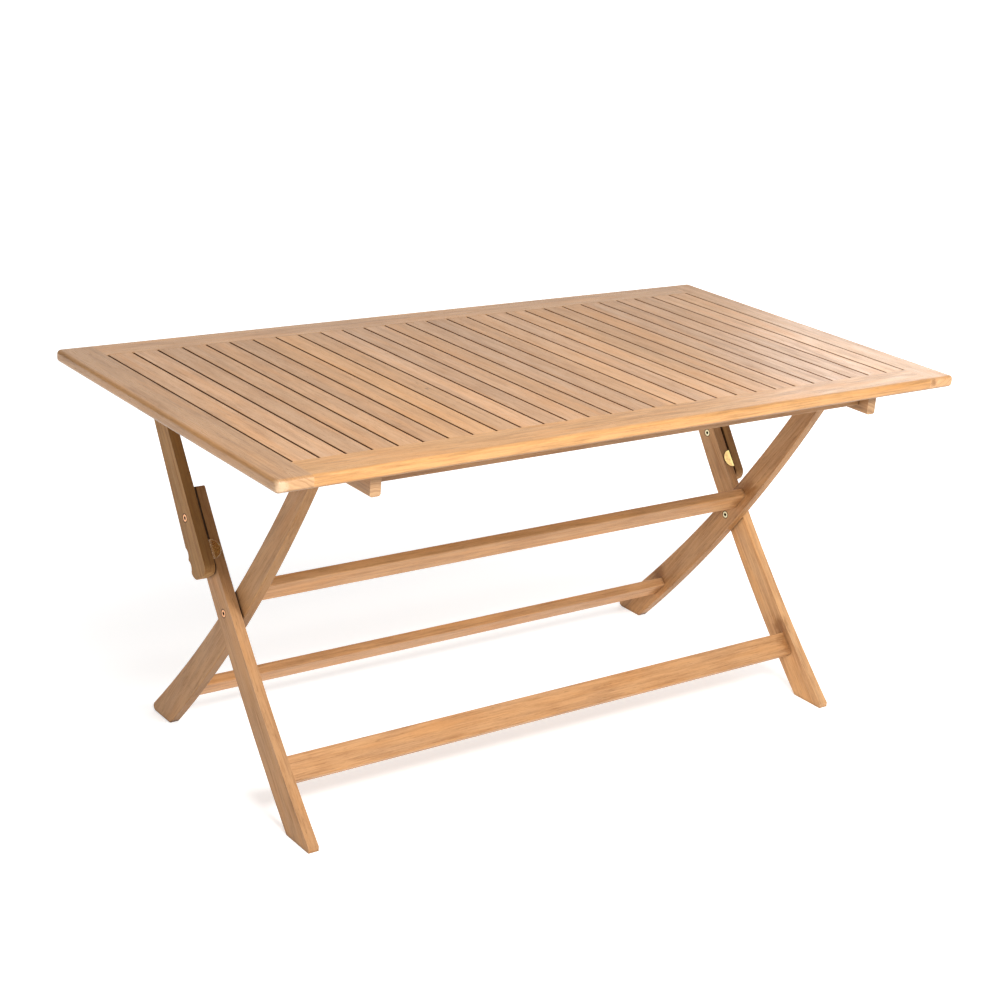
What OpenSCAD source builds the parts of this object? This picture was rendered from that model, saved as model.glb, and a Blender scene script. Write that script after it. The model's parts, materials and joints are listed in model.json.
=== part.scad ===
// Folding picnic table: a slatted hardwood top on two crossed pairs of curved legs.
// Millimetres, +Z up, +X along the top, +Y to the back.
// Origin on the ground, under the middle of the top. Drawn open, ready for use.

/* [Top] */
// length of the top over the end rails
top_len = 1600; // [1500:10:1700]
// depth of the top over the side rails
top_dep = 826; // [810:2:850]
// height of the top face above the ground
top_h = 753; // [745:1:760]
// thickness of the four rails of the top frame
rail_t = 24; // [22:1:26]
// width of the end rails
end_rail_w = 70; // [64:1:76]
// width of the side rails
side_rail_w = 73; // [68:1:78]
// thickness of the slats
slat_t = 15; // [14:1:16]
// gap between neighbouring slats
slat_gap = 4; // [3:0.5:6]
// length of the tongue at each slat end
tongue_len = 8; // [5:1:10]
// thickness of the tongue at each slat end
tongue_t = 5; // [4:0.5:6]

/* [Under frame] */
// thickness of the cross battens
batten_t = 22; // [20:1:24]
// distance from the end of the top to the inner face of a batten
batten_in = 218; // [210:1:226]
// length of the cross battens
batten_len = 772; // [760:2:780]
// depth of batten and hanger below the rail underside
batten_drop = 42; // [40:1:44]
// section width of the long under rails
under_w = 22; // [18:1:24]
// section height of the long under rails
under_h = 27.5; // [24:0.5:32]
// length of the hanger blocks
hanger_len = 90; // [80:2:100]
// thickness of the hanger blocks
hanger_t = 24; // [22:1:26]

/* [Legs] */
// thickness of legs and arms
leg_t = 21.5; // [20:0.5:22]
// gap between neighbouring leg faces
leg_gap = 3; // [2.8:0.1:3.2]
// leg width at the crossing
leg_w = 52.5; // [50:0.5:55]
// angle between the two long edges of a leg
leg_taper = 1.23; // [0.8:0.01:1.6]
// bow radius of the outer legs
outer_bow = 3780; // [3600:20:4000]
// bow radius of the inner legs
inner_bow = 3480; // [3300:20:3700]
// lean of the outer legs at the crossing
outer_lean = 37.8; // [37:0.1:38.5]
// lean of the inner legs at the crossing
inner_lean = 36.9; // [36:0.1:37.5]
// rounding of the toe of each inner leg
toe_h = 10; // [9:0.5:10]
// length of outer leg above the arm pivot
leg_horn = 52.5; // [46:0.5:53]

/* [Pivots] */
// leg crossing pivot, distance behind the middle
cross_y = 3; // [0:1:6]
// leg crossing pivot, height
cross_z = 338.5; // [336:0.5:341]
// arm to leg pivot, distance behind the middle
elbow_y = 115; // [113:1:116]
// arm to leg pivot, height
elbow_z = 493; // [491:1:495]
// inner leg to batten pivot, distance in front of the middle
hip_y = 248; // [246:1:250]
// arm to hanger pivot, distance behind the middle
shoulder_y = 268; // [266:1:270]
// both upper pivots, depth below the top face
upper_drop = 45; // [44:1:47]

/* [Arms] */
// lean of the arm axis
arm_lean = 34.2; // [33.6:0.1:34.8]
// arm width in front of the elbow pivot
arm_front = 26.6; // [26.4:0.1:27.6]
// arm width behind the elbow pivot
arm_back = 26.5; // [25:0.5:28]
// arm width behind its axis at the top end
arm_back_top = 19; // [18:0.5:21]
// arm length below the elbow pivot
arm_tail = 117; // [112:1:122]
// radius of the finger grips
grip_r = 16; // [14:1:20]
// depth of the finger grips
grip_d = 4.6; // [3:0.2:5]
// radius of the stop disc
disc_r = 19; // [18:0.5:19]
// distance of the middle of the disc from the inner face of the arm
disc_out = 2.5; // [2:0.5:4]
// depth of the saw cut that holds the disc
kerf_depth = 17; // [17:0.5:18]
// thickness of the stop disc
disc_t = 1.4; // [1.2:0.1:1.6]
// distance of the stop disc below the elbow pivot
disc_drop = 72; // [70:1:76]

/* [Stretchers] */
// width of the stretchers
str_w = 50; // [46:1:54]
// thickness of the stretchers
str_t = 20; // [18:1:22]
// upper stretcher, distance above the crossing along the leg
str_up = 60; // [56:1:64]
// back stretcher, distance below the crossing along the leg
str_back = 309; // [300:1:315]
// front stretcher, distance below the crossing along the leg
str_front = 314; // [306:1:320]
// length of the stub tenons
tenon_len = 14; // [10:1:16]
// tenon width
tenon_w = 34; // [28:1:38]
// tenon thickness
tenon_t = 10; // [8:1:12]

/* [Fittings] */
// radius of barrel and sleeve
sleeve_r = 4; // [3.5:0.5:4.5]
// radius of the flush heads
head_r = 7; // [6.5:0.5:7.5]
// thickness of the flush heads
head_t = 2.4; // [2:0.2:2.8]
// running clearance round a pivot
run = 0.06; // [0.03:0.01:0.1]
// gap between a fitting and a piece that turns past it
side_gap = 0.3; // [0.3:0.1:0.5]
// radius of the washers
washer_r = 9; // [8.5:0.5:10]
// radius of the wood screw heads
screw_r = 4.5; // [4:0.5:5]

/* [Hidden] */
slat_n = 28;
slat_names = [for (i = [1 : slat_n]) str("slat_", i < 10 ? "0" : "", i)];
rail_nodes = ["end_rail_left", "end_rail_right", "side_rail_front", "side_rail_back"];
under_nodes = ["batten_left", "batten_right", "under_rail_front", "under_rail_back",
    "hanger_left", "hanger_right"];
inner_nodes = ["inner_leg_left", "inner_leg_right", "upper_stretcher", "back_stretcher"];
outer_nodes = ["outer_leg_left", "outer_leg_right", "front_stretcher"];
arm_nodes = ["arm_left", "arm_right", "stop_disc_left", "stop_disc_right"];
bolt_nodes = ["frame_pivot_bolts", "frame_pivot_nuts", "frame_pivot_washers",
    "leg_pivot_bolts", "leg_pivot_nuts", "leg_pivot_washers",
    "arm_bolt_left", "arm_bolt_right", "frame_screws"];

$fa = 2;
$fs = 0.4;
bow_fn = 2880;
round_fn = 96;
wood_top = [0.80, 0.62, 0.46];
wood_rail = [0.82, 0.62, 0.40];
wood_leg = [0.72, 0.52, 0.35];
brass = [0.80, 0.68, 0.38];
steel = [0.70, 0.66, 0.56];

// faces of the top
half_len = top_len / 2;
half_dep = top_dep / 2;
rail_z = top_h - rail_t;
slat_z = top_h - slat_t;
field_x = half_len - end_rail_w;
field_y = half_dep - side_rail_w;
pitch = (2 * field_x - slat_gap) / slat_n;
slat_w = pitch - slat_gap;
tongue_z = slat_z + (slat_t - tongue_t) / 2;
groove_slack = 0.25;

// faces of the legs, counted from the middle of the top
batten_x0 = half_len - batten_in;
batten_x1 = batten_x0 + batten_t;
inner_x0 = batten_x1 + leg_gap;
inner_x1 = inner_x0 + leg_t;
outer_x0 = inner_x1 + leg_gap;
outer_x1 = outer_x0 + leg_t;
arm_x0 = outer_x1 + leg_gap;
arm_x1 = arm_x0 + leg_t;
hanger_x0 = arm_x1 + leg_gap;
hanger_x1 = hanger_x0 + hanger_t;
batten_z = rail_z - batten_drop;
upper_z = top_h - upper_drop;
hanger_c = shoulder_y;

// points of the side view, [y, z]
cross_p = [cross_y, cross_z];
elbow_p = [elbow_y, elbow_z];
hip_p = [-hip_y, upper_z];
shoulder_p = [shoulder_y, upper_z];
reach = norm(elbow_p - cross_p);

// unit vectors of a leg at the crossing: down the leg, and to its bowed side
function down(lean, side) = [side * sin(lean), -cos(lean)];
function bowed(lean, side) = [-side * cos(lean), -sin(lean)];
// point on a leg, s down the leg from the crossing, off to the bowed side
function on_leg(lean, side, bow, s, off) =
    cross_p - bowed(lean, side) * bow
    + (bowed(lean, side) * cos(s / bow * 180 / PI)
    + down(lean, side) * sin(s / bow * 180 / PI)) * (bow + off);
// turn of the leg axis at s
function leg_turn(lean, side, bow, s) = side * (lean + s / bow * 180 / PI);

// the side view [y, z] drawn out along x
module side(x0, x1) {
    translate([x0, 0, 0]) rotate([90, 0, 90]) linear_extrude(height = x1 - x0) children();
}

// children once as drawn (right) and mirrored (left)
module both_ends() {
    children();
    mirror([1, 0, 0]) children();
}

module end_of(left) {
    if (left) mirror([1, 0, 0]) children();
    else children();
}

// a round bar along x at [y, z]
module bar(p, x0, x1, r) {
    translate([x0, p[0], p[1]]) rotate([0, 90, 0]) cylinder(h = x1 - x0, r = r, $fn = round_fn);
}

// a bar with a six sided section, for sockets
module hex_bar(p, x0, x1, r) {
    translate([x0, p[0], p[1]]) rotate([0, 90, 0]) cylinder(h = x1 - x0, r = r, $fn = 6);
}

// ---- top frame ----
tenon_in = 26;
rail_tenon_w = side_rail_w - 30;
rail_tenon_t = 9;
rail_tenon_z = rail_z + (rail_t - rail_tenon_t) / 2;
edge_r = 8;
corner_r = 9;

// section of a rail with a rounded outer edge, width along +x, outer edge at w
module rail_section(w) {
    difference() {
        translate([0, rail_z]) square([w, rail_t]);
        translate([w - edge_r, top_h - edge_r]) edge_cut(edge_r);
        translate([w - edge_r, rail_z + edge_r]) mirror([0, 1]) edge_cut(edge_r);
    }
}

// what a rounding of radius r takes off a square corner
module edge_cut(r) {
    difference() {
        square([r + 1, r + 1]);
        circle(r = r, $fn = round_fn);
    }
}

module end_rail(left) {
    color(wood_rail) end_of(left) difference() {
        union() {
            translate([field_x, half_dep - corner_r, 0]) rotate([90, 0, 0])
                linear_extrude(height = top_dep - 2 * corner_r) rail_section(end_rail_w);
            for (s = [0, 1]) mirror([0, s, 0]) {
                translate([field_x, half_dep - corner_r - 1, 0]) rotate([90, 0, 90])
                    linear_extrude(height = end_rail_w - corner_r) rail_section(corner_r + 1);
                translate([half_len - corner_r, half_dep - corner_r, 0])
                    rotate_extrude($fn = round_fn) rail_section(corner_r);
            }
        }
        for (s = [-1, 1]) translate([field_x - 1,
            s * (half_dep - side_rail_w / 2) - rail_tenon_w / 2 - groove_slack,
            rail_tenon_z - groove_slack])
            cube([tenon_in + 2, rail_tenon_w + 2 * groove_slack, rail_tenon_t + 2 * groove_slack]);
    }
}

module side_rail(back) {
    color(wood_rail) mirror([0, back ? 0 : 1, 0]) {
        difference() {
            translate([-field_x, field_y, 0]) rotate([90, 0, 90])
                linear_extrude(height = 2 * field_x) rail_section(side_rail_w);
            translate([-field_x - 1, field_y - 1, tongue_z - groove_slack])
                cube([2 * field_x + 2, tongue_len + 1 + groove_slack, tongue_t + 2 * groove_slack]);
            for (x = under_screws) pilot(x, under_y + under_w / 2, rail_z);
            for (s = [-1, 1]) pilot(s * batten_mid, batten_end_screw, rail_z);
        }
        for (s = [-1, 1]) translate([s > 0 ? field_x - 1 : -field_x - tenon_in,
            half_dep - side_rail_w / 2 - rail_tenon_w / 2, rail_tenon_z])
            cube([tenon_in + 1, rail_tenon_w, rail_tenon_t]);
    }
}

module pilot(x, y, z) {
    translate([x, y, z - 1]) cylinder(h = bite + 1.2, r = screw_shank_r + 0.05, $fn = round_fn);
}

function slat_x(i) = -field_x + slat_gap + (i - 1) * pitch;

// true where a slat lies over the line |x| = m
function slat_over(i, m) = abs(abs(slat_x(i) + slat_w / 2) - m) < slat_w / 2;

module slat(i) {
    side_of = slat_x(i) < 0 ? -1 : 1;
    color(wood_top) difference() {
        union() {
            translate([slat_x(i), -field_y, slat_z]) cube([slat_w, 2 * field_y, slat_t]);
            translate([slat_x(i), -field_y - tongue_len, tongue_z])
                cube([slat_w, 2 * field_y + 2 * tongue_len, tongue_t]);
        }
        if (slat_over(i, batten_mid)) for (y = batten_screws) pilot(side_of * batten_mid, y, slat_z);
        if (slat_over(i, hanger_mid)) for (y = hanger_screws) pilot(side_of * hanger_mid, y, slat_z);
    }
}

// ---- under frame ----
half_batten = batten_len / 2;
batten_r = 5;

module batten(left) {
    color(wood_leg) end_of(left) difference() {
        side(batten_x0, batten_x1) polygon([[-half_batten, batten_z], [half_batten, batten_z],
            [half_batten, rail_z], [field_y, rail_z], [field_y, slat_z], [-field_y, slat_z],
            [-field_y, rail_z], [-half_batten, rail_z]]);
        for (s = [0, 1]) translate([batten_x0 + (s ? batten_t - batten_r : batten_r),
            half_batten + 1, batten_z + batten_r]) rotate([90, 0, 0])
            linear_extrude(height = batten_len + 2)
            mirror([s ? 0 : 1, 0]) mirror([0, 1]) edge_cut(batten_r);
        bar(hip_p, batten_x0 - 1, batten_x1 + 1, sleeve_r + run);
        bar(hip_p, batten_x0 - 1, batten_x0 + head_t, head_r + 0.1);
        for (y = batten_screws) translate([batten_mid, y, 0]) screw_hole(batten_z);
        for (s = [-1, 1]) translate([batten_mid, s * batten_end_screw, 0]) screw_hole(batten_z);
    }
}

under_y = field_y;

module under_rail(back) {
    color(wood_leg) mirror([0, back ? 0 : 1, 0]) difference() {
        translate([-batten_x0, under_y, rail_z - under_h]) cube([2 * batten_x0, under_w, under_h]);
        for (x = under_screws) translate([x, under_y + under_w / 2, 0]) screw_hole(rail_z - under_h);
    }
}

module hanger(left) {
    color(wood_leg) end_of(left) difference() {
        translate([hanger_x0, hanger_c - hanger_len / 2, batten_z])
            cube([hanger_t, hanger_len, slat_z - batten_z]);
        for (s = [0, 1]) translate([hanger_x0 - 1, hanger_c + (s ? 1 : -1) * (hanger_len / 2 - 8),
            batten_z + 8]) rotate([90, 0, 90]) linear_extrude(height = hanger_t + 2)
            mirror([s ? 0 : 1, 0]) mirror([0, 1]) edge_cut(8);
        bar(shoulder_p, hanger_x0 - 1, hanger_x1 + 1, sleeve_r + run);
        bar(shoulder_p, hanger_x1 - head_t, hanger_x1 + 1, head_r + 0.1);
        for (y = hanger_screws) translate([hanger_mid, y, 0]) screw_hole(batten_z);
    }
}

// ---- wood screws from below ----
batten_mid = (batten_x0 + batten_x1) / 2;
hanger_mid = (hanger_x0 + hanger_x1) / 2;
batten_screws = [-300, -150, 0, 150, 300];
batten_end_screw = 370;
under_screws = [for (k = [-3 : 3]) k * 170];
hanger_screws = [hanger_c - 30, hanger_c + 30];
bite = 7;
screw_depth = 10;
screw_head_t = 3;
screw_shank_r = 2;

// counterbored hole for a screw from face z0 up through the piece
module screw_hole(z0) {
    translate([0, 0, z0 - 1]) cylinder(h = screw_depth + 1, r = screw_r + 0.3, $fn = round_fn);
    translate([0, 0, z0]) cylinder(h = 80, r = screw_shank_r + 0.05, $fn = round_fn);
}

// screw with its head seated at the bottom of the counterbore, tip at z1
module screw(z0, z1) {
    difference() {
        union() {
            translate([0, 0, z0 + screw_depth - screw_head_t])
                cylinder(h = screw_head_t, r = screw_r, $fn = round_fn);
            translate([0, 0, z0 + screw_depth - 0.5])
                cylinder(h = z1 - z0 - screw_depth + 0.5, r = screw_shank_r, $fn = round_fn);
        }
        translate([0, 0, z0 + screw_depth - screw_head_t - 1])
            cylinder(h = 2.5, r = 1.6, $fn = 6);
    }
}

module frame_screws() {
    color(brass) {
        both_ends() {
            for (y = batten_screws) translate([batten_mid, y, 0]) screw(batten_z, slat_z + bite);
            for (s = [-1, 1]) translate([batten_mid, s * batten_end_screw, 0])
                screw(batten_z, rail_z + bite);
            for (y = hanger_screws) translate([hanger_mid, y, 0]) screw(batten_z, slat_z + bite);
        }
        for (s = [-1, 1]) for (x = under_screws)
            translate([x, s * (under_y + under_w / 2), 0]) screw(rail_z - under_h, rail_z + bite);
    }
}

// ---- legs ----
// side view of a leg about the crossing: foot towards -y, bowed side towards +x
module leg_shape(bow) {
    t = leg_taper / 2;
    difference() {
        translate([leg_w / 2 - bow * cos(t), -bow * sin(t)]) circle(r = bow, $fn = bow_fn);
        translate([-leg_w / 2 - bow * cos(t), bow * sin(t)]) circle(r = bow, $fn = bow_fn);
        translate([-2 * bow, -3 * bow]) square([2 * bow - 200, 6 * bow]);
    }
}

outer_top = -(reach + leg_horn);
horn_round = 4;
hip_round = 27;
heel_turn = 22.5;

module outer_shape() {
    intersection() {
        translate(cross_p) rotate(-outer_lean) leg_shape(outer_bow);
        // flat top end with rounded corners, square to the leg
        translate(on_leg(outer_lean, -1, outer_bow, outer_top, 0))
            rotate(leg_turn(outer_lean, -1, outer_bow, outer_top)) difference() {
                translate([-100, -1500]) square([200, 1500]);
                for (s = [0, 1]) mirror([s, 0]) translate([horn_w / 2 - horn_round, -horn_round])
                    horn_corner();
            }
        // ground and blunt toe
        translate([-toe_front, 0]) square([1000, 1000]);
    }
}

horn_w = leg_w + outer_top * leg_taper * PI / 180;

module horn_corner() {
    difference() {
        square([60, horn_round + 1]);
        circle(r = horn_round, $fn = round_fn);
    }
}

module inner_shape() {
    difference() {
        intersection() {
            translate(cross_p) rotate(inner_lean) mirror([1, 0]) leg_shape(inner_bow);
            translate([-1000, 0]) square([2000, hip_p[1] + hip_round]);
        }
        // round toe
        difference() {
            translate([toe_back, 0]) rotate(-heel_turn) square([60, 60]);
            translate([toe_back, toe_h]) circle(r = toe_h, $fn = round_fn);
        }
        // round top end about the upper pivot
        difference() {
            translate([hip_p[0] - 100, hip_p[1]]) square([200, 100]);
            translate(hip_p) circle(r = hip_round, $fn = round_fn);
        }
    }
}

// where the blunt toes stand
toe_front = 328;
toe_back = 312.5;

module mortise(p, turn) {
    translate([0, p[0], p[1]]) rotate([turn, 0, 0])
        translate([-1, -tenon_t / 2 - 0.1, -tenon_w / 2 - 0.1])
        cube([tenon_len + 1.3, tenon_t + 0.2, tenon_w + 0.2]);
}

up_p = on_leg(inner_lean, 1, inner_bow, -str_up, -2.5);
back_p = on_leg(inner_lean, 1, inner_bow, str_back, 5);
front_p = on_leg(outer_lean, -1, outer_bow, str_front, -4);
up_turn = leg_turn(inner_lean, 1, inner_bow, -str_up);
back_turn = leg_turn(inner_lean, 1, inner_bow, str_back);
front_turn = leg_turn(outer_lean, -1, outer_bow, str_front);

module inner_leg(left) {
    color(wood_leg) end_of(left) difference() {
        side(inner_x0, inner_x1) inner_shape();
        bar(hip_p, inner_x0 - 1, inner_x1 + 1, sleeve_r + run);
        bar(hip_p, inner_x1 - head_t - side_gap, inner_x1 + 1, head_r + 0.4);
        bar(cross_p, inner_x0 - 1, inner_x1 + 1, sleeve_r + run);
        bar(cross_p, inner_x0 - 1, inner_x0 + head_t + side_gap, head_r + 0.4);
        translate([inner_x0, 0, 0]) mortise(up_p, up_turn);
        translate([inner_x0, 0, 0]) mortise(back_p, back_turn);
    }
}

module outer_leg(left) {
    color(wood_leg) end_of(left) difference() {
        side(outer_x0, outer_x1) outer_shape();
        bar(cross_p, outer_x0 - 1, outer_x1 + 1, sleeve_r + run);
        bar(cross_p, outer_x1 - head_t, outer_x1 + 1, head_r + 0.1);
        bar(elbow_p, outer_x0 - 1, outer_x1 + 1, sleeve_r + run);
        bar(elbow_p, outer_x0 - 1, outer_x0 + head_t, head_r + 0.1);
        translate([outer_x0, 0, 0]) mortise(front_p, front_turn);
    }
}

// plank across the table at p in the side view, with a stub tenon at each end
str_r = 2.5;
module stretcher(p, turn, x_end) {
    color(wood_leg) translate([0, p[0], p[1]]) rotate([turn, 0, 0]) {
        difference() {
            translate([-x_end, -str_t / 2, -str_w / 2]) cube([2 * x_end, str_t, str_w]);
            for (a = [0, 1]) for (b = [0, 1]) mirror([0, a, 0]) mirror([0, 0, b])
                translate([-x_end - 1, str_t / 2 - str_r, str_w / 2 - str_r]) rotate([90, 0, 90])
                linear_extrude(height = 2 * x_end + 2) edge_cut(str_r);
        }
        for (s = [-1, 1]) translate([s > 0 ? x_end - 1 : -x_end - tenon_len, -tenon_t / 2, -tenon_w / 2])
            cube([tenon_len + 1, tenon_t, tenon_w]);
    }
}

// ---- arms ----
arm_top = 263.8;
arm_front_top = 22;
tail_round = 20;
grip_at = [-62, -86];

// side view of an arm about the elbow: top towards +y, back edge towards +x
module arm_shape() {
    back_low = arm_back + (arm_back - arm_back_top) / arm_top * arm_tail;
    front_low = arm_front + (arm_front - arm_front_top) / arm_top * arm_tail;
    shoulder_l = [(shoulder_p[0] - elbow_y) * cos(arm_lean) - (shoulder_p[1] - elbow_z) * sin(arm_lean),
        (shoulder_p[0] - elbow_y) * sin(arm_lean) + (shoulder_p[1] - elbow_z) * cos(arm_lean)];
    difference() {
        polygon([[-front_low, -arm_tail], [back_low, -arm_tail],
            [arm_back_top, arm_top], [arm_back_top - 0.6, arm_top + 40],
            [-arm_front_top, arm_top + 40], [-arm_front_top, arm_top]]);
        // rounded lower end
        translate([-front_low + tail_round, -arm_tail + tail_round])
            mirror([1, 0]) mirror([0, 1]) edge_cut(tail_round);
        translate([back_low - tail_round, -arm_tail + tail_round])
            mirror([0, 1]) edge_cut(tail_round);
        // finger grips along the back edge
        for (y = grip_at)
            translate([arm_back - (arm_back - arm_back_top) / arm_top * y + grip_r - grip_d, y])
            circle(r = grip_r, $fn = round_fn);
        // round top end about the upper pivot
        difference() {
            translate([-100, shoulder_l[1]]) square([200, 100]);
            translate(shoulder_l) circle(r = hip_round, $fn = round_fn);
        }
    }
}

// stop disc: its inner half stands out of the arm and bears on the front edge of the outer leg
disc_s = -(reach - disc_drop);
disc_off = -(leg_w + disc_s * leg_taper * PI / 180) / 2 - 0.3 - disc_t / 2;
disc_p = on_leg(outer_lean, -1, outer_bow, disc_s, disc_off);
disc_turn = leg_turn(outer_lean, -1, outer_bow, disc_s) - leg_taper / 2;

module stop_disc(left) {
    color(brass) end_of(left) translate([arm_x0 - disc_out, disc_p[0], disc_p[1]])
        rotate([disc_turn, 0, 0]) rotate([90, 0, 0])
        translate([0, 0, -disc_t / 2]) cylinder(h = disc_t, r = disc_r, $fn = round_fn);
}

module disc_kerf() {
    translate([arm_x0 - 1, disc_p[0], disc_p[1]]) rotate([disc_turn, 0, 0])
        translate([0, -disc_t / 2 - 0.05, -disc_r - 1.5])
        cube([kerf_depth + 1, disc_t + 0.1, 2 * disc_r + 3]);
}

module arm(left) {
    color(wood_leg) end_of(left) difference() {
        side(arm_x0, arm_x1) translate(elbow_p) rotate(-arm_lean) arm_shape();
        bar(shoulder_p, arm_x0 - 1, arm_x1 + 1, sleeve_r + run);
        bar(shoulder_p, arm_x0 - 1, arm_x0 + head_t + side_gap, head_r + 0.4);
        bar(elbow_p, arm_x0 - 1, arm_x1 + 1, sleeve_r + run);
        bar(elbow_p, arm_x1 - head_t, arm_x1 + 1, head_r + 0.1);
        disc_kerf();
    }
}

// ---- pivot fittings ----
socket_r = 2.6;
core_r = 3;

// flush head at x, thickness away from the outside, outside towards dir
module head(p, x, dir) {
    difference() {
        bar(p, dir > 0 ? x - head_t : x, dir > 0 ? x : x + head_t, head_r);
        hex_bar(p, dir > 0 ? x - head_t + 0.8 : x - 1, dir > 0 ? x + 1 : x + head_t - 0.8, socket_r);
    }
}

// bolt: head outside at xh, core running to xe
module bolt(p, xh, xe, dir) {
    head(p, xh, dir);
    if (dir > 0) bar(p, xe, xh - head_t + 0.2, core_r);
    else bar(p, xh + head_t - 0.2, xe, core_r);
}

// barrel nut: head outside at xh, hollow sleeve running to xe
module barrel(p, xh, xe, dir) {
    head(p, xh, dir);
    difference() {
        if (dir > 0) bar(p, xe, xh - head_t + 0.2, sleeve_r);
        else bar(p, xh + head_t - 0.2, xe, sleeve_r);
        if (dir > 0) bar(p, xe - 1, xh - head_t, core_r + 0.05);
        else bar(p, xh + head_t, xe + 1, core_r + 0.05);
    }
}

module washer(p, x0, x1) {
    difference() {
        bar(p, x0, x1, washer_r);
        bar(p, x0 - 1, x1 + 1, sleeve_r + 0.15);
    }
}

module frame_pivot_bolts() {
    color(brass) both_ends() {
        bolt(hip_p, inner_x1, batten_x0 + head_t + 1, 1);
        bolt(shoulder_p, arm_x0, hanger_x1 - head_t - 1, -1);
    }
}

module frame_pivot_nuts() {
    color(steel) both_ends() {
        barrel(hip_p, batten_x0, inner_x1 - head_t, -1);
        barrel(shoulder_p, hanger_x1, arm_x0 + head_t, 1);
    }
}

module frame_pivot_washers() {
    color(steel) both_ends() {
        washer(hip_p, batten_x1, inner_x0 - side_gap);
        washer(shoulder_p, arm_x1 + side_gap, hanger_x0);
    }
}

module leg_pivot_bolts() {
    color(brass) both_ends() bolt(cross_p, outer_x1, inner_x0 + head_t + 1, 1);
}

module leg_pivot_nuts() {
    color(steel) both_ends() {
        barrel(cross_p, inner_x0, outer_x1 - head_t, -1);
        head(elbow_p, outer_x0, -1);
        bar(elbow_p, outer_x0 + head_t - 0.2, outer_x1, sleeve_r);
    }
}

module leg_pivot_washers() {
    color(steel) both_ends() {
        washer(cross_p, inner_x1 + side_gap, outer_x0);
        difference() {
            bar(elbow_p, outer_x1, arm_x0 - side_gap, washer_r);
            bar(elbow_p, outer_x1 - 1, arm_x0, sleeve_r + 0.15);
        }
    }
}

module arm_bolt(left) {
    color(brass) end_of(left) {
        head(elbow_p, arm_x1, 1);
        bar(elbow_p, arm_x0, arm_x1 - head_t + 0.2, sleeve_r);
    }
}

end_rail(true);  // end_rail_left
end_rail(false);  // end_rail_right
side_rail(false);  // side_rail_front
side_rail(true);  // side_rail_back
for (i = [1 : slat_n]) slat(i);
batten(true);  // batten_left
batten(false);  // batten_right
under_rail(false);  // under_rail_front
under_rail(true);  // under_rail_back
hanger(true);  // hanger_left
hanger(false);  // hanger_right
inner_leg(true);  // inner_leg_left
inner_leg(false);  // inner_leg_right
stretcher(up_p, up_turn, inner_x0);  // upper_stretcher
stretcher(back_p, back_turn, inner_x0);  // back_stretcher
outer_leg(true);  // outer_leg_left
outer_leg(false);  // outer_leg_right
stretcher(front_p, front_turn, outer_x0);  // front_stretcher
arm(true);  // arm_left
arm(false);  // arm_right
stop_disc(true);  // stop_disc_left
stop_disc(false);  // stop_disc_right
frame_pivot_bolts();
frame_pivot_nuts();
frame_pivot_washers();
leg_pivot_bolts();
leg_pivot_nuts();
leg_pivot_washers();
arm_bolt(true);  // arm_bolt_left
arm_bolt(false);  // arm_bolt_right
frame_screws();
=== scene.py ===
import json
import math
import random

import bmesh
import bpy
from mathutils import Matrix, Vector


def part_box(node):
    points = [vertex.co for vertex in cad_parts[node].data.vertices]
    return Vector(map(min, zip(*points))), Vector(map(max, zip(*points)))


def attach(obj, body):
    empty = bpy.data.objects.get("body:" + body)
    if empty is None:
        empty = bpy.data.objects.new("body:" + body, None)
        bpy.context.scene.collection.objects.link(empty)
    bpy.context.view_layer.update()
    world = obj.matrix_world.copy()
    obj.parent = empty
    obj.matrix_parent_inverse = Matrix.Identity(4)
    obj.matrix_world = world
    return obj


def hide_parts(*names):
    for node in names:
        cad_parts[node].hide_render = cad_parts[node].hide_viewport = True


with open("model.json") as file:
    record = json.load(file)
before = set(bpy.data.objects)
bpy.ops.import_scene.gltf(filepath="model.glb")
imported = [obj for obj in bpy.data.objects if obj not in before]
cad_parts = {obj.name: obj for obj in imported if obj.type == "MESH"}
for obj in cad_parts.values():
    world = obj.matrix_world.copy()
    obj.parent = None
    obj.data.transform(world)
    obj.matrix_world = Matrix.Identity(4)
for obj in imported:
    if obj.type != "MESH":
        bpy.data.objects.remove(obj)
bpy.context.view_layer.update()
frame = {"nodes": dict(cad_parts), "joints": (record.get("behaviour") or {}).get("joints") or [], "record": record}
nodes = frame["nodes"]
record = frame["record"]
node_body = {node: body for body, members in record["behaviour"]["bodies"].items() for node in members}
joint_at = {joint["name"]: Vector(joint["pos_m"]) for joint in frame["joints"]}
mm = 0.001


# ---- colours ----
def rgb(r, g, b):
    return (r, g, b, 1.0)


def tinted(color, gains):
    return rgb(*(a * gain for a, gain in zip(color, gains)))


def tone(color, value):
    return tinted(color, (value, value, value))


WHITE = rgb(1.0, 1.0, 1.0)
OIL = rgb(0.235, 0.092, 0.024)
SCRATCH = rgb(0.80, 0.70, 0.60)
WORN = rgb(0.72, 0.55, 0.38)
SEAM_SHADE = rgb(0.190, 0.062, 0.016)
SHADED_WOOD = rgb(0.145, 0.069, 0.018)
SLOT_BLACK = rgb(0.012, 0.007, 0.004)
SOCKET_SHADE = rgb(0.012, 0.009, 0.006)
METAL_CREASE_SHADE = rgb(0.02, 0.013, 0.008)
RIM_HIGHLIGHT = rgb(0.90, 0.86, 0.72)


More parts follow.
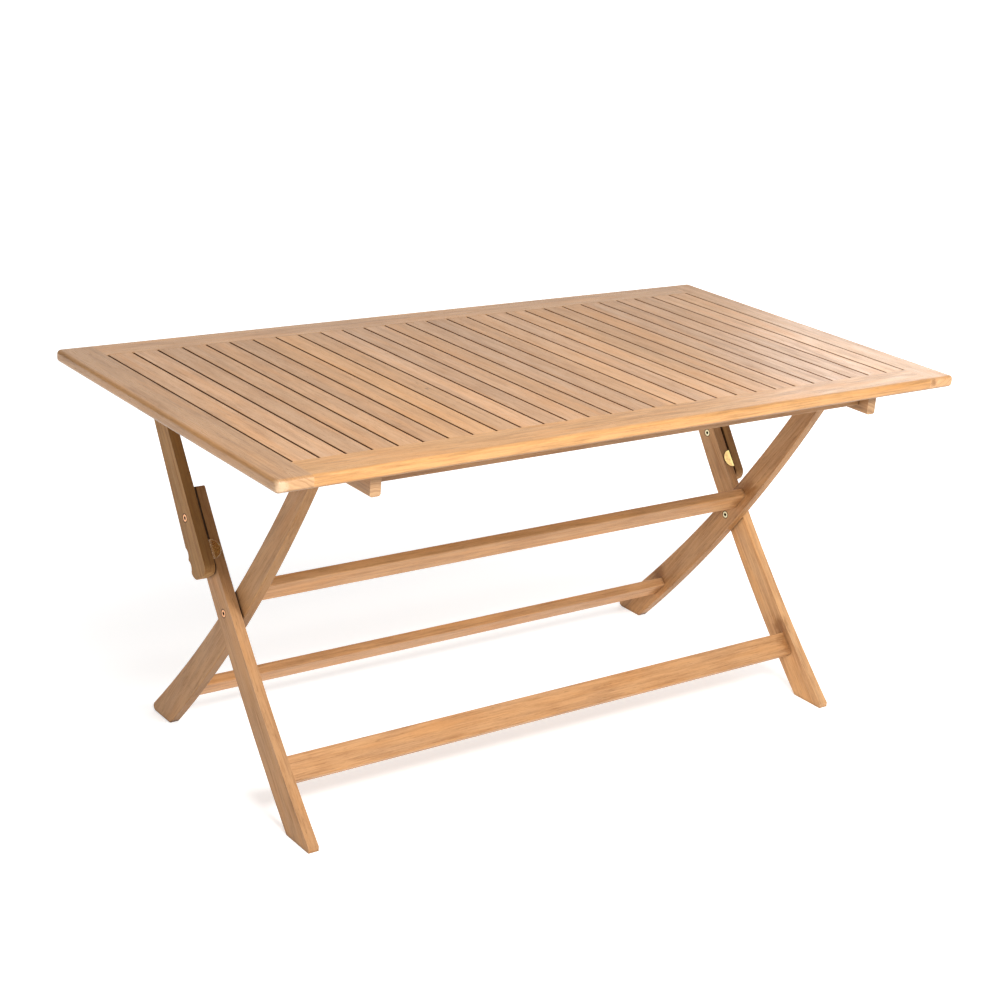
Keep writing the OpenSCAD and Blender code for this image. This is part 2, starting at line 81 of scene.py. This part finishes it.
# ---- shader network helper ----
class Net:
    def __init__(self, tree):
        self.tree = tree

    def put(self, socket, value):
        if isinstance(value, bpy.types.NodeSocket):
            self.tree.links.new(value, socket)
        else:
            socket.default_value = value

    def add(self, kind, props=None, **sockets):
        n = self.tree.nodes.new(kind)
        for k, v in (props or {}).items():
            setattr(n, k, v)
        for k, v in sockets.items():
            self.put(n.inputs[k.replace("_", " ")], v)
        return n

    def math(self, op, a, b=0.0, c=None, clamp=False):
        n = self.add("ShaderNodeMath", {"operation": op, "use_clamp": clamp})
        self.put(n.inputs[0], a)
        self.put(n.inputs[1], b)
        if c is not None:
            self.put(n.inputs[2], c)
        return n.outputs[0]

    def vec(self, op, a, b=None, out=0):
        n = self.add("ShaderNodeVectorMath", {"operation": op})
        self.put(n.inputs[0], a)
        if b is not None:
            self.put(n.inputs[1], b)
        return n.outputs[out]

    # inputs 6 and 7 and output 2 are the colour sockets of a Mix node
    def mix(self, fac, a, b):
        n = self.add("ShaderNodeMix", {"data_type": "RGBA"})
        for i, v in ((0, fac), (6, a), (7, b)):
            self.put(n.inputs[i], v)
        return n.outputs[2]

    def ramp(self, fac, low, high, to_low=0.0, to_high=1.0):
        n = self.add("ShaderNodeMapRange", {"interpolation_type": "SMOOTHSTEP"})
        for i, v in enumerate((fac, low, high, to_low, to_high)):
            self.put(n.inputs[i], v)
        return n.outputs[0]

    def split(self, vector):
        return self.add("ShaderNodeSeparateXYZ", Vector=vector).outputs

    def noise(self, vector, scale, detail, rough, warp=0.0):
        n = self.add("ShaderNodeTexNoise", Vector=vector, Scale=scale, Detail=detail, Roughness=rough,
                     Distortion=warp)
        return n.outputs[0]

    # noise drawn out by a different factor on each axis
    def streaks(self, vector, factors, detail, rough, shift=(0.0, 0.0, 0.0), warp=0.0):
        n = self.add("ShaderNodeMapping", Vector=vector, Scale=factors, Location=shift)
        return self.noise(n.outputs[0], 1.0, detail, rough, warp)

    # base plus a noise that is centred on zero
    def vary(self, base, noise, weight):
        return self.math("MULTIPLY_ADD", self.math("SUBTRACT", noise, 0.5), weight, base)

    # how far a point is from another, with each axis scaled
    def distance(self, vector, at, scale=(1.0, 1.0, 1.0)):
        gap = self.vec("SUBTRACT", vector, Vector(at))
        return self.vec("LENGTH", self.vec("MULTIPLY", gap, Vector(scale)), out=1)

    # how far a point is from a line along x
    def from_axis(self, vector, y, z):
        return self.distance(vector, (0.0, y, z), (0.0, 1.0, 1.0))

    # most in creases and 0 in the open; reach is how far it feels for a neighbour
    def crease(self, samples, reach, low, high, most):
        near = self.add("ShaderNodeAmbientOcclusion", {"samples": samples}, Distance=reach)
        return self.ramp(near.outputs["AO"], low, high, most, 0.0)

    def surface(self, color, rough, bump=None, metal=0.0, specular=0.5):
        shader = self.add("ShaderNodeBsdfPrincipled", Roughness=rough, Metallic=metal, IOR=1.45)
        self.put(shader.inputs["Base Color"], color)
        shader.inputs["Specular IOR Level"].default_value = specular
        if bump is not None:
            self.put(shader.inputs["Normal"], bump)
        out = self.add("ShaderNodeOutputMaterial")
        self.tree.links.new(shader.outputs[0], out.inputs[0])
        return shader


def new_material(name):
    mat = bpy.data.materials.new(name)
    mat.use_nodes = True
    mat.node_tree.nodes.clear()
    return mat, Net(mat.node_tree)


# ---- wood ----
# the rotation that lays a board's length along x
def board_turn(across, lean):
    quarter = Matrix.Rotation(-math.pi / 2, 3, "Z")
    if lean is not None:
        return quarter @ Matrix.Rotation(-lean, 3, "X")
    return quarter if across else Matrix.Identity(3)


# faint rings round a pith that lies off the board
def ring_pattern(n, p, q, pith, spacing, slant):
    r = n.from_axis(p, *pith)
    r = n.vary(r, n.streaks(q, (1.6, 9.0, 9.0), 3.0, 0.55), 0.034)
    r = n.vary(r, n.streaks(q, (6.0, 30.0, 30.0), 2.0, 0.5), 0.006)
    r = n.math("MULTIPLY_ADD", n.split(p)[0], slant, r)
    ring = n.add("ShaderNodeTexNoise", {"noise_dimensions": "1D"}, W=n.math("MULTIPLY", r, 1000.0 / spacing),
                 Scale=1.0, Detail=3.0, Roughness=0.60)
    return n.ramp(ring.outputs[0], 0.30, 0.72)


# stains, knots and scratches, each a centre, a radius and a kind
def marked(n, color, where, q, marks, deep, pale):
    shades = {"oil": (0.72, OIL), "knot": (0.85, deep), "scratch": (0.60, SCRATCH),
              "pale": (0.55, pale), "worn": (0.45, WORN)}
    for centre, radius, kind in marks:
        d = n.distance(where, centre, [1 / v for v in radius])
        blur = n.streaks(q, (40.0, 160.0, 160.0), 4.0, 0.65)
        fade = n.ramp(n.vary(d, blur, 1.6), 0.25, 1.0, 1.0, 0.0)
        power, shade = shades[kind]
        color = n.mix(n.math("MULTIPLY", fade, power), color, shade)
    return color


# Faces that look down, and fronts from fore_low upward, are drawn darker, as if the top shaded
# them.
def shaded(n, color, where, normal, under, fore):
    fore_low, fore_high = 0.36, 0.47
    outward = n.split(normal)
    if under:
        color = n.mix(n.ramp(outward[2], -0.75, -0.15, under, 0.0), color, SHADED_WOOD)
    if fore:
        front = n.ramp(outward[1], -0.75, -0.25, fore, 0.0)
        high = n.ramp(n.split(where)[2], fore_low, fore_high)
        color = n.mix(n.math("MULTIPLY", front, high), color, SHADED_WOOD)
    return color


# A near-black line of painted shade in the slot between a leg and its arm: past x_edge, on the side that side_of
# gives, from z_low up to z_high.
def slot_line(n, color, where, x_edge, side_of, z_low, z_high):
    fade_x, fade_z = 0.0006, 0.008
    x, y, z = n.split(where)
    past = n.math("MULTIPLY", n.math("SUBTRACT", n.math("ABSOLUTE", x), x_edge), side_of)
    band = n.math("MULTIPLY", n.ramp(z, z_low, z_low + fade_z), n.ramp(z, z_high, z_high + fade_z, 1.0, 0.0))
    return n.mix(n.math("MULTIPLY", band, n.ramp(past, 0.0, fade_x, 0.0, 0.95)), color, SLOT_BLACK)


# Wood with rings, long cloudy patches, fibres, pores and flecks. The spacing of the rings is in
# millimetres.
def wood(name, centre, light, dark, seed, lean=None, across=False, pith=(0.02, -0.11), spacing=6.0,
         figure=0.22, streaks=1.5, grey=0.25, gloss=0.5, specular=0.5, marks=(), bores=(), seam=0.0,
         under=0.0, fore=0.0, cover=None):
    rnd = random.Random(1000 + seed)
    mat, n = new_material(name)
    turn = board_turn(across, lean)
    euler = turn.to_euler()
    co = n.add("ShaderNodeTexCoord")
    where, normal = co.outputs["Object"], co.outputs["Normal"]
    mapped = n.add("ShaderNodeMapping", Vector=where, Rotation=euler, Location=-(turn @ Vector(centre)))
    p = mapped.outputs[0]
    q = n.vec("ADD", p, Vector([rnd.uniform(-9, 9) for _ in range(3)]))
    slant = rnd.uniform(-0.02, 0.02)

    deep = tone(dark, 0.42)
    ashen = tinted(light, (0.84, 0.98, 1.28))
    warm = tinted(light, (1.06, 0.94, 0.74))
    pale = tinted(light, (1.20, 1.36, 1.65))

    ring = ring_pattern(n, p, q, pith, spacing, slant)
    drift = n.streaks(q, (1.5, 14.0, 14.0), 3.0, 0.5, (5.0, 2.0, 8.0))
    patch = n.streaks(q, (9.0, 55.0, 55.0), 4.0, 0.62, (2.0, 8.0, 3.0))
    grain = n.streaks(q, (10.0, 270.0, 270.0), 2.0, 0.55, (6.0, 5.0, 2.0), warp=0.15)
    fibre = n.streaks(q, (16.0, 560.0, 560.0), 3.0, 0.6)
    fleck = n.streaks(q, (130.0, 620.0, 620.0), 2.0, 0.6, (1.0, 4.0, 6.0))
    hue = n.streaks(q, (4.0, 34.0, 34.0), 3.0, 0.55, (9.0, 1.0, 4.0))
    pore = n.ramp(n.streaks(q, (55.0, 1150.0, 1150.0), 1.0, 0.4, (3.1, 7.7, 1.9)), 0.60, 0.74)
    pore = n.math("MULTIPLY", pore, n.math("MULTIPLY_ADD", ring, 0.6, 0.4))

    depth = n.math("MULTIPLY_ADD", ring, figure, 0.28 - figure * 0.4)
    for part, weight in ((patch, 1.6), (drift, 0.9), (grain, streaks), (fibre, 0.85), (fleck, 0.55)):
        depth = n.vary(depth, part, weight)
    color = n.mix(n.math("ADD", depth, 0.0, clamp=True), light, dark)
    color = n.mix(n.ramp(hue, 0.48, 0.68, 0.0, grey), color, ashen)
    color = n.mix(n.ramp(hue, 0.50, 0.34, 0.0, 0.45), color, warm)
    color = n.mix(n.math("MULTIPLY", pore, 0.50), color, deep)

    # end grain shows its rings and is paler
    facing = n.add("ShaderNodeMapping", {"vector_type": "VECTOR"}, Vector=normal, Rotation=euler)
    turned = n.split(facing.outputs[0])
    ends = n.ramp(n.math("ABSOLUTE", turned[0]), 0.70, 0.95)
    ringed = n.mix(n.math("MULTIPLY", ring, 0.7), pale, dark)
    color = n.mix(n.math("MULTIPLY", ends, 0.78), color, ringed)

    # the narrow sides get painted shade, so that the gap between two boards reads as a dark line
    if seam:
        color = n.mix(n.ramp(n.math("ABSOLUTE", turned[1]), 0.30, 0.80, 0.0, seam), color, SEAM_SHADE)
    color = shaded(n, color, where, normal, under, fore)
    color = marked(n, color, where, q, marks, deep, pale)
    # a dark line of painted shade round every bolt head
    for bore in bores:
        color = n.mix(n.ramp(n.from_axis(where, *bore), 8.4 * mm, 10.0 * mm, 0.95, 0.0), color, deep)
    if cover:
        color = slot_line(n, color, where, *cover)

    # creases get painted shade, and sharp edges are a little paler
    color = n.mix(n.crease(8, 14 * mm, 0.18, 0.80, 0.9), color, tone(dark, 0.30))
    soft = n.add("ShaderNodeBevel", {"samples": 3}, Radius=2.2 * mm)
    flat = n.add("ShaderNodeNewGeometry")
    edge = n.math("SUBTRACT", 1.0, n.vec("DOT_PRODUCT", soft.outputs[0], flat.outputs["Normal"], out=1))
    color = n.mix(n.math("MULTIPLY", n.ramp(edge, 0.01, 0.12), 0.18), color, pale)

    rough = n.vary(n.vary(gloss, fibre, 0.25), patch, 0.30)
    rough = n.math("ADD", rough, n.math("MULTIPLY", pore, 0.18))
    rough = n.math("ADD", rough, n.math("MULTIPLY", ends, 0.15), clamp=True)
    height = n.math("ADD", n.math("MULTIPLY", fibre, 0.55), n.math("MULTIPLY", fleck, 0.35))
    height = n.math("SUBTRACT", height, n.math("MULTIPLY", pore, 0.9))
    bump = n.add("ShaderNodeBump", Strength=0.50, Distance=0.00035, Height=height)
    n.surface(color, rough, bump.outputs[0], specular=specular)
    return mat


# ---- metal ----
# Plated metal. A rim is a centre and a radius, drawn as a painted highlight, and a stripe is an x, a strength and
# a colour, drawn as a painted reflection.
def metal(name, base, tarnish, rough, seed, sockets=(), rim=None, stripe=None):
    rnd = random.Random(seed)
    mat, n = new_material(name)
    where = n.add("ShaderNodeTexCoord").outputs["Object"]
    q = n.vec("ADD", where, Vector([rnd.uniform(-5, 5) for _ in range(3)]))
    cloud = n.noise(q, 160.0, 4.0, 0.6)
    grit = n.noise(q, 2600.0, 2.0, 0.6)
    lines = n.streaks(q, (300.0, 4200.0, 300.0), 2.0, 0.5)
    color = n.mix(n.ramp(cloud, 0.35, 0.70), base, tarnish)
    color = n.mix(n.math("MULTIPLY", n.ramp(grit, 0.55, 0.80), 0.25), color, tone(tarnish, 0.5))
    # a painted highlight along the rim
    if rim:
        centre, radius = rim
        color = n.mix(n.ramp(n.distance(where, centre), radius - 1.7 * mm, radius - 0.9 * mm, 0.0, 0.9),
                      color, RIM_HIGHLIGHT)
    # a stripe of painted reflection
    if stripe:
        x_edge, strength, shade = stripe
        x = n.math("ABSOLUTE", n.split(where)[0])
        color = n.mix(n.ramp(x, x_edge - 0.6 * mm, x_edge, 0.0, strength), color, shade)
    # creases and recesses of the metal get painted shade
    color = n.mix(n.crease(6, 3 * mm, 0.35, 0.85, 0.95), color, METAL_CREASE_SHADE)
    # the hex sockets are painted near-black, as painted shade
    for axis in sockets:
        color = n.mix(n.ramp(n.from_axis(where, *axis), 3.3 * mm, 4.0 * mm, 0.98, 0.0), color, SOCKET_SHADE)
    rough = n.vary(n.math("MULTIPLY_ADD", cloud, 0.15, rough - 0.07), lines, 0.30)
    bump = n.add("ShaderNodeBump", Strength=0.12, Distance=0.0001, Height=n.math("ADD", grit, lines))
    n.surface(color, rough, bump.outputs[0], metal=1.0)
    return mat


# ---- meshes ----
WELD = 0.002 * mm
FLAT_ANGLE = math.radians(0.08)
SMOOTH_ANGLE = math.radians(33)


# A copy of a CAD solid with clean faces and rounded arrises. Edges near the spare centres, edges
# shorter than least and edges blunter than sharpest stay as they are.
def shaped(node, arris, steps, spare=(), least=0.0, sharpest=30.0):
    bm = bmesh.new()
    bm.from_mesh(nodes[node].data)
    bmesh.ops.remove_doubles(bm, verts=bm.verts, dist=WELD)
    bmesh.ops.dissolve_limit(bm, angle_limit=FLAT_ANGLE, verts=bm.verts, edges=bm.edges)
    picked = []
    for e in bm.edges:
        if len(e.link_faces) != 2 or not e.is_convex:
            continue
        if e.calc_face_angle(0.0) < math.radians(sharpest) or e.calc_length() < least:
            continue
        mid = (e.verts[0].co + e.verts[1].co) / 2
        if any((mid.yz - centre).length < reach for centre, reach in spare):
            continue
        picked.append(e)
    bmesh.ops.bevel(bm, geom=picked, offset=arris, offset_type="OFFSET", segments=steps, profile=0.5,
                    affect="EDGES", clamp_overlap=True, loop_slide=True)
    for f in bm.faces:
        f.smooth = True
    for e in bm.edges:
        e.smooth = len(e.link_faces) == 2 and e.calc_face_angle(0.0) < SMOOTH_ANGLE
    mesh = bpy.data.meshes.new(node + "_wood")
    bm.to_mesh(mesh)
    bm.free()
    piece = bpy.data.objects.new(node + "_wood", mesh)
    bpy.context.scene.collection.objects.link(piece)
    even = piece.modifiers.new("even", "WEIGHTED_NORMAL")
    even.keep_sharp = True
    even.weight = 80
    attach(piece, node_body[node])
    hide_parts(node)
    return piece


def middle(node):
    lo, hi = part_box(node)
    return (lo + hi) / 2


def dress(piece, mat):
    piece.data.materials.clear()
    piece.data.materials.append(mat)


# ---- slats ----
slat_names = sorted(node for node in nodes if node.startswith("slat_"))
for i, name in enumerate(slat_names):
    rnd = random.Random(77 + i)
    slat = shaped(name, 1.1 * mm, 3, least=3 * mm)
    # each slat has its own tone, and the first ones are drawn a little darker, as painted shade
    value = rnd.uniform(0.88, 1.12) * min(0.97, 0.90 + 0.008 * i)
    hue = rnd.uniform(-1, 1)
    knots = ()
    if name == "slat_09":
        knots = (((middle(name).x + 0.004, -0.077, 0.753), (0.0035, 0.0075, 0.004), "knot"),)
    dress(slat, wood(name, middle(name), rgb(0.600 * value, 0.322 * value * (1 - 0.05 * hue),
                                             0.142 * value * (1 - 0.20 * hue)),
                     tone((0.375, 0.184, 0.076), value), i, across=True,
                     pith=(rnd.uniform(-0.09, 0.09), rnd.choice((-1, 1)) * rnd.uniform(0.05, 0.13)),
                     spacing=rnd.uniform(4.0, 8.0), figure=rnd.uniform(0.10, 0.30), streaks=0.7, gloss=0.38,
                     marks=knots, seam=0.90, under=0.8))

# ---- rails of the top ----
# name, lightness, how much green and blue the wood keeps, pith, figure, streaks and gloss; the left end rail's low
# lightness is painted shade
top_rails = (("end_rail_left", 0.76, 1.0, (0.06, -0.12), 0.30, 1.8, 0.33),
             ("end_rail_right", 0.97, 1.0, (-0.07, -0.10), 0.30, 1.5, 0.38),
             ("side_rail_front", 0.93, 0.82, (0.015, -0.10), 0.45, 2.2, 0.38),
             ("side_rail_back", 0.92, 1.0, (-0.05, -0.12), 0.35, 2.0, 0.31))
for i, (name, value, cool, pith, figure, streaks, gloss) in enumerate(top_rails):
    rail = shaped(name, 0.9 * mm, 2, least=20 * mm)
    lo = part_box(name)[0]
    spots = {"end_rail_left": (((lo.x + 0.006, lo.y, lo.z + 0.012), (0.024, 0.014, 0.016), "worn"),),
             "end_rail_right": (((lo.x + 0.010, lo.y, 0.744), (0.012, 0.010, 0.010), "oil"),)}
    light = tone((0.610, 0.325 * (0.75 + 0.25 * cool), 0.136 * cool), value)
    dark = tone((0.380, 0.184, 0.072 * cool), value)
    dress(rail, wood(name, middle(name), light, dark, 50 + i, across=name.startswith("end"), pith=pith,
                     figure=figure, streaks=streaks, grey=0.15, gloss=gloss, marks=spots.get(name, ()),
                     under=0.6))

# ---- under frame ----
# the under frame is drawn in a darker wood than the rest, as painted shade under the top
for i, name in enumerate(("batten_left", "batten_right", "under_rail_front", "under_rail_back",
                          "hanger_left", "hanger_right")):
    bar = shaped(name, 1.6 * mm, 3, least=2.6 * mm)
    dress(bar, wood(name, middle(name), rgb(0.385, 0.208, 0.090), rgb(0.205, 0.096, 0.038), 60 + i,
                    across="rail" not in name))

# ---- legs, arms and stretchers ----
LEG, LEG_DARK, ARM = (0.610, 0.326, 0.143), (0.370, 0.173, 0.067), (0.620, 0.328, 0.118)
LEG_ARRIS, ARM_ARRIS, STRETCHER_ARRIS = 2.6 * mm, 2.2 * mm, 0.6 * mm
LEAN_OUTER = math.radians(90 - 39.4)
LEAN_INNER = math.radians(90 + 36.9)
LEAN_ARM = math.radians(90 - 34.2)

hip = joint_at["fold"].yz
crossing = joint_at["leg_crossing"].yz
shoulder = joint_at["left_arm_pivot"].yz
elbow = middle("arm_bolt_left").yz
upper, rear, front = (middle(node) for node in ("upper_stretcher", "back_stretcher", "front_stretcher"))
bolt_holes = [(at, 8.5 * mm) for at in (hip, crossing, shoulder, elbow)]
mortises = [(at.yz, 19.0 * mm) for at in (upper, rear, front)]

inner_marks = {
    "left": (((-0.613, -0.162, 0.556), (0.010, 0.012, 0.0026), "scratch"),),
    "right": (((0.607, upper.y - 0.03, upper.z + 0.03), (0.02, 0.030, 0.030), "oil"),
              ((0.607, rear.y, rear.z + 0.03), (0.02, 0.028, 0.028), "oil")),
}
# the left inner leg is drawn a little darker than the right one, as painted shade
for i, (side, value, under) in enumerate((("left", 0.75, 0.62), ("right", 0.80, 0.30))):
    name = "inner_leg_" + side
    leg = shaped(name, LEG_ARRIS, 3, spare=bolt_holes + mortises[:2])
    dress(leg, wood(name, middle(name), tone(LEG, value), tone(LEG_DARK, value), 70 + i, lean=LEAN_INNER,
                    pith=(0.02, 0.14), specular=0.25, marks=inner_marks[side], bores=(hip, crossing),
                    under=under))

outer_marks = {
    "left": (((-0.653, -0.041, 0.354), (0.01, 0.004, 0.004), "knot"),),
    "right": (((0.632, front.y + 0.02, front.z + 0.035), (0.02, 0.030, 0.030), "oil"),),
}
# the left outer leg is drawn darker than the right one, as painted shade
outer_looks = (("left", 0.77, 1.0, 2.6 * mm), ("right", 1.03, 1.12, 0.4 * mm))
for i, (side, value, pink, line) in enumerate(outer_looks):
    name = "outer_leg_" + side
    leg = shaped(name, LEG_ARRIS, 3, spare=bolt_holes + mortises[2:])
    lo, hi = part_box(name)
    disc_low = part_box("stop_disc_" + side)[0].z
    outside = max(abs(lo.x), abs(hi.x))
    dress(leg, wood(name, middle(name), tone((LEG[0], LEG[1] * (0.5 + 0.5 * pink), LEG[2] * pink), value),
                    tone(LEG_DARK, value), 74 + i, lean=LEAN_OUTER, pith=(-0.03, 0.12), specular=0.25,
                    marks=outer_marks[side], bores=(crossing, elbow), fore=0.45,
                    cover=(outside - line, 1.0, disc_low, hi.z + 0.01)))

# both arms are drawn in a darker tone than the legs, as painted shade under the top
for i, (side, fore, line) in enumerate((("left", 0.46, 1.0 * mm), ("right", 0.20, 0.4 * mm))):
    name = "arm_" + side
    arm = shaped(name, ARM_ARRIS, 3, spare=bolt_holes, least=1.2 * mm)
    lo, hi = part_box(name)
    disc_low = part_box("stop_disc_" + side)[0].z
    leg_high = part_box("outer_leg_" + side)[1].z
    inside = min(abs(lo.x), abs(hi.x))
    dress(arm, wood(name, middle(name), tone(ARM, 0.64), tone(LEG_DARK, 0.62), 78 + i, lean=LEAN_ARM,
                    pith=(0.05, 0.10), gloss=0.55, specular=0.15, bores=(shoulder, elbow), fore=fore,
                    cover=(inside + line, -1.0, disc_low, leg_high - 0.006)))

stretchers = (("upper_stretcher", 0.86, (0.03, -0.09), 0.42),
              ("back_stretcher", 0.88, (-0.02, 0.12), 0.0),
              ("front_stretcher", 0.88, (0.04, 0.10), 0.0))
for i, (name, value, pith, fore) in enumerate(stretchers):
    rail = shaped(name, STRETCHER_ARRIS, 2, least=4 * mm)
    at = middle(name)
    lo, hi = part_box(name)
    spots = [((hi.x - 0.02, at.y, at.z), (0.030, 0.030, 0.030), "oil")]
    if name == "front_stretcher":
        spots.append(((lo.x + 0.004, lo.y, hi.z - 0.006), (0.010, 0.010, 0.006), "pale"))
    dress(rail, wood(name, at, tone(LEG, value), tone(LEG_DARK, value), 84 + i, pith=pith, figure=0.28,
                     gloss=0.48, specular=0.28, marks=spots, fore=fore))

# ---- fittings ----
bolt_axes = (hip, crossing, shoulder, elbow)
zinc_yellow = metal("zinc_yellow", rgb(0.90, 0.80, 0.52), rgb(0.74, 0.62, 0.36), 0.30, 1, bolt_axes)
zinc_plain = metal("zinc_plain", rgb(0.78, 0.74, 0.62), rgb(0.60, 0.56, 0.46), 0.34, 2)
copper = metal("copper_tone", rgb(0.82, 0.39, 0.18), rgb(0.62, 0.30, 0.13), 0.32, 3, bolt_axes)

# the left disc has a painted highlight round its rim and a pale stripe of painted reflection, the right one a
# yellower stripe of painted reflection
stripe_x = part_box("arm_right")[0].x - 5 * mm
stripes = {"left": (stripe_x, 0.60, rgb(0.86, 0.83, 0.74)), "right": (stripe_x, 0.45, rgb(0.62, 0.54, 0.22))}
for i, side in enumerate(("left", "right")):
    name = "stop_disc_" + side
    disc = shaped(name, 0.45 * mm, 3)
    radius = max((v.co - middle(name)).length for v in disc.data.vertices)
    dress(disc, metal("disc_plate_%d" % i, rgb(0.52, 0.38, 0.15), rgb(0.46, 0.28, 0.12), 0.24, 4 + i,
                      rim=(middle(name), radius) if side == "left" else None, stripe=stripes[side]))

for name in ("leg_pivot_bolts", "arm_bolt_left", "arm_bolt_right", "frame_pivot_bolts"):
    dress(shaped(name, 0.3 * mm, 2, least=0.05 * mm, sharpest=50), copper)
for name in ("frame_pivot_nuts", "frame_pivot_washers", "leg_pivot_nuts", "leg_pivot_washers",
             "frame_screws"):
    plating = zinc_yellow if "nuts" in name else zinc_plain
    dress(shaped(name, 0.2 * mm, 1, least=0.05 * mm, sharpest=50), plating)

# ---- studio ----
# a pale sky that is brighter overhead and beyond the table
scene = bpy.context.scene
world = bpy.data.worlds.new("studio")
scene.world = world
world.use_nodes = True
sky = Net(world.node_tree)
background = world.node_tree.nodes["Background"]
toward = sky.add("ShaderNodeTexCoord").outputs["Generated"]
overhead = sky.ramp(sky.split(toward)[2], 0.25, 0.80, 0.16, 0.55)
beyond = sky.vec("DOT_PRODUCT", toward, Vector((0.66, 0.72, 0.20)), out=1)
beyond = sky.ramp(beyond, 0.45, 0.98, 0.0, 0.65)
sky.put(background.inputs["Color"], WHITE)
sky.put(background.inputs["Strength"], sky.math("ADD", overhead, beyond))

# a matt floor that glows a little, less so under the table
FLOOR_HALF = 60.0
floor_mesh = bpy.data.meshes.new("floor")
floor_corners = [(FLOOR_HALF * x, FLOOR_HALF * y, 0) for x, y in ((-1, -1), (1, -1), (1, 1), (-1, 1))]
floor_mesh.from_pydata(floor_corners, [], [(0, 1, 2, 3)])
floor = bpy.data.objects.new("floor", floor_mesh)
scene.collection.objects.link(floor)
paper, f = new_material("floor_paper")
floor_at = f.add("ShaderNodeTexCoord").outputs["Object"]
speckle = f.mix(f.noise(floor_at, 3.0, 3.0, 0.5), rgb(0.80, 0.80, 0.80), rgb(0.83, 0.83, 0.83))
paper_shader = f.surface(speckle, 0.9, specular=0.0)
f.put(paper_shader.inputs["Emission Color"], WHITE)
glow = f.ramp(f.vec("LENGTH", floor_at, out=1), 0.7, 1.7, 0.50, 0.82)
f.put(paper_shader.inputs["Emission Strength"], glow)
floor_mesh.materials.append(paper)


def softbox(name, place, target, size, power, tint=(1.0, 1.0, 1.0)):
    data = bpy.data.lights.new(name, "AREA")
    data.shape = "RECTANGLE"
    data.size, data.size_y = size
    data.energy = power
    data.color = tint
    lamp = bpy.data.objects.new(name, data)
    scene.collection.objects.link(lamp)
    lamp.location = place
    lamp.rotation_mode = "QUATERNION"
    lamp.rotation_quaternion = (Vector(target) - Vector(place)).to_track_quat("-Z", "Y")


softbox("key", (-0.50, -2.25, 2.30), (0.0, -0.1, 0.45), (1.7, 0.7), 93, (1.0, 0.985, 0.96))
softbox("side", (3.3, -1.9, 2.5), (0.6, 0.0, 0.5), (1.3, 1.3), 12)
softbox("window", (4.6, 2.5, 1.95), (0.4, 0.1, 0.7), (2.0, 1.8), 34, (1.0, 0.98, 0.97))

# ---- camera ----
EYE = (-2.3244, -2.9505, 1.7888)
AZIMUTH, ELEVATION, ROLL = math.radians(37.87), math.radians(19.44), math.radians(-4.55)
SENSOR_MM, LENS_MM = 36.0, 70.96
ahead = Vector((math.sin(AZIMUTH) * math.cos(ELEVATION), math.cos(AZIMUTH) * math.cos(ELEVATION),
                -math.sin(ELEVATION)))
level = Vector((math.cos(AZIMUTH), -math.sin(AZIMUTH), 0.0))
plumb = ahead.cross(level)
right = level * math.cos(ROLL) + plumb * math.sin(ROLL)
lower = plumb * math.cos(ROLL) - level * math.sin(ROLL)
camera_data = bpy.data.cameras.new("camera")
camera_data.sensor_width = SENSOR_MM
camera_data.lens = LENS_MM
camera_data.clip_start, camera_data.clip_end = 0.05, 300.0
camera = bpy.data.objects.new("camera", camera_data)
scene.collection.objects.link(camera)
camera.matrix_world = Matrix.Translation(EYE) @ Matrix((right, -lower, -ahead)).transposed().to_4x4()
scene.camera = camera
scene.view_settings.view_transform = "Standard"
